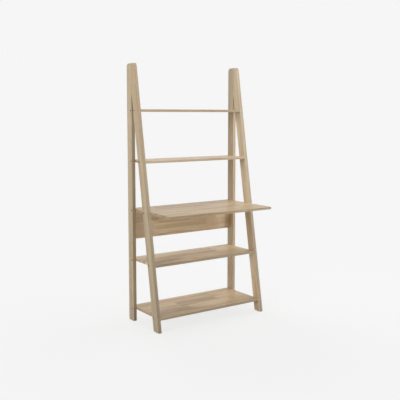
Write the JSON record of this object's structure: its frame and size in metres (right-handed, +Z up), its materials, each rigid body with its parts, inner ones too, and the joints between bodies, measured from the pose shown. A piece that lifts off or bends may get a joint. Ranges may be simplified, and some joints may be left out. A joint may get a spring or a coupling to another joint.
{
  "type": "ladder desk",
  "caption": "Free-standing A-framed ladder desk in pale oak: shelves above and below a deep desktop, with a back panel under it.",
  "frame": {"origin": "on the floor under the middle of the desk: half-way across, and half-way between the rear plane and the desktop's front edge", "axes": "+Z up; +Y towards the rear, so the front faces -Y; +X to the right of someone who sits at the desk"},
  "size_m": [0.85, 0.485, 1.7],
  "materials": {
    "oak_timber": "pale oak, matt lacquer, grain along the timber",
    "oak_board": "pale oak, matt lacquer, grain along the board",
    "bolt_steel": "dark bronze plated",
    "zinc_steel": "zinc plated",
    "beech": "raw beech",
    "glide_plastic": "dark brown polythene"
  },
  "bodies": {
    "root": {"left_rear_post": "oak_timber", "left_front_leg": "oak_timber", "right_rear_post": "oak_timber", "right_front_leg": "oak_timber", "top_shelf": "oak_board", "upper_shelf": "oak_board", "desktop": "oak_board", "lower_shelf": "oak_board", "bottom_shelf": "oak_board", "back_panel": "oak_board", "top_shelf_bolts": "bolt_steel", "top_shelf_barrel_nuts": "zinc_steel", "top_shelf_dowels": "beech", "upper_shelf_bolts": "bolt_steel", "upper_shelf_barrel_nuts": "zinc_steel", "upper_shelf_dowels": "beech", "desktop_bolts": "bolt_steel", "desktop_barrel_nuts": "zinc_steel", "desktop_dowels": "beech", "lower_shelf_bolts": "bolt_steel", "lower_shelf_barrel_nuts": "zinc_steel", "lower_shelf_dowels": "beech", "bottom_shelf_bolts": "bolt_steel", "bottom_shelf_barrel_nuts": "zinc_steel", "bottom_shelf_dowels": "beech", "back_panel_cam_pins": "zinc_steel", "back_panel_cam_locks": "zinc_steel", "back_panel_end_dowels": "beech", "back_panel_top_dowels": "beech", "left_head_dowels": "beech", "left_rear_glide": "glide_plastic", "left_front_glide": "glide_plastic", "right_head_dowels": "beech", "right_rear_glide": "glide_plastic", "right_front_glide": "glide_plastic", "glide_nails": "zinc_steel"}
  },
  "joints": []
}
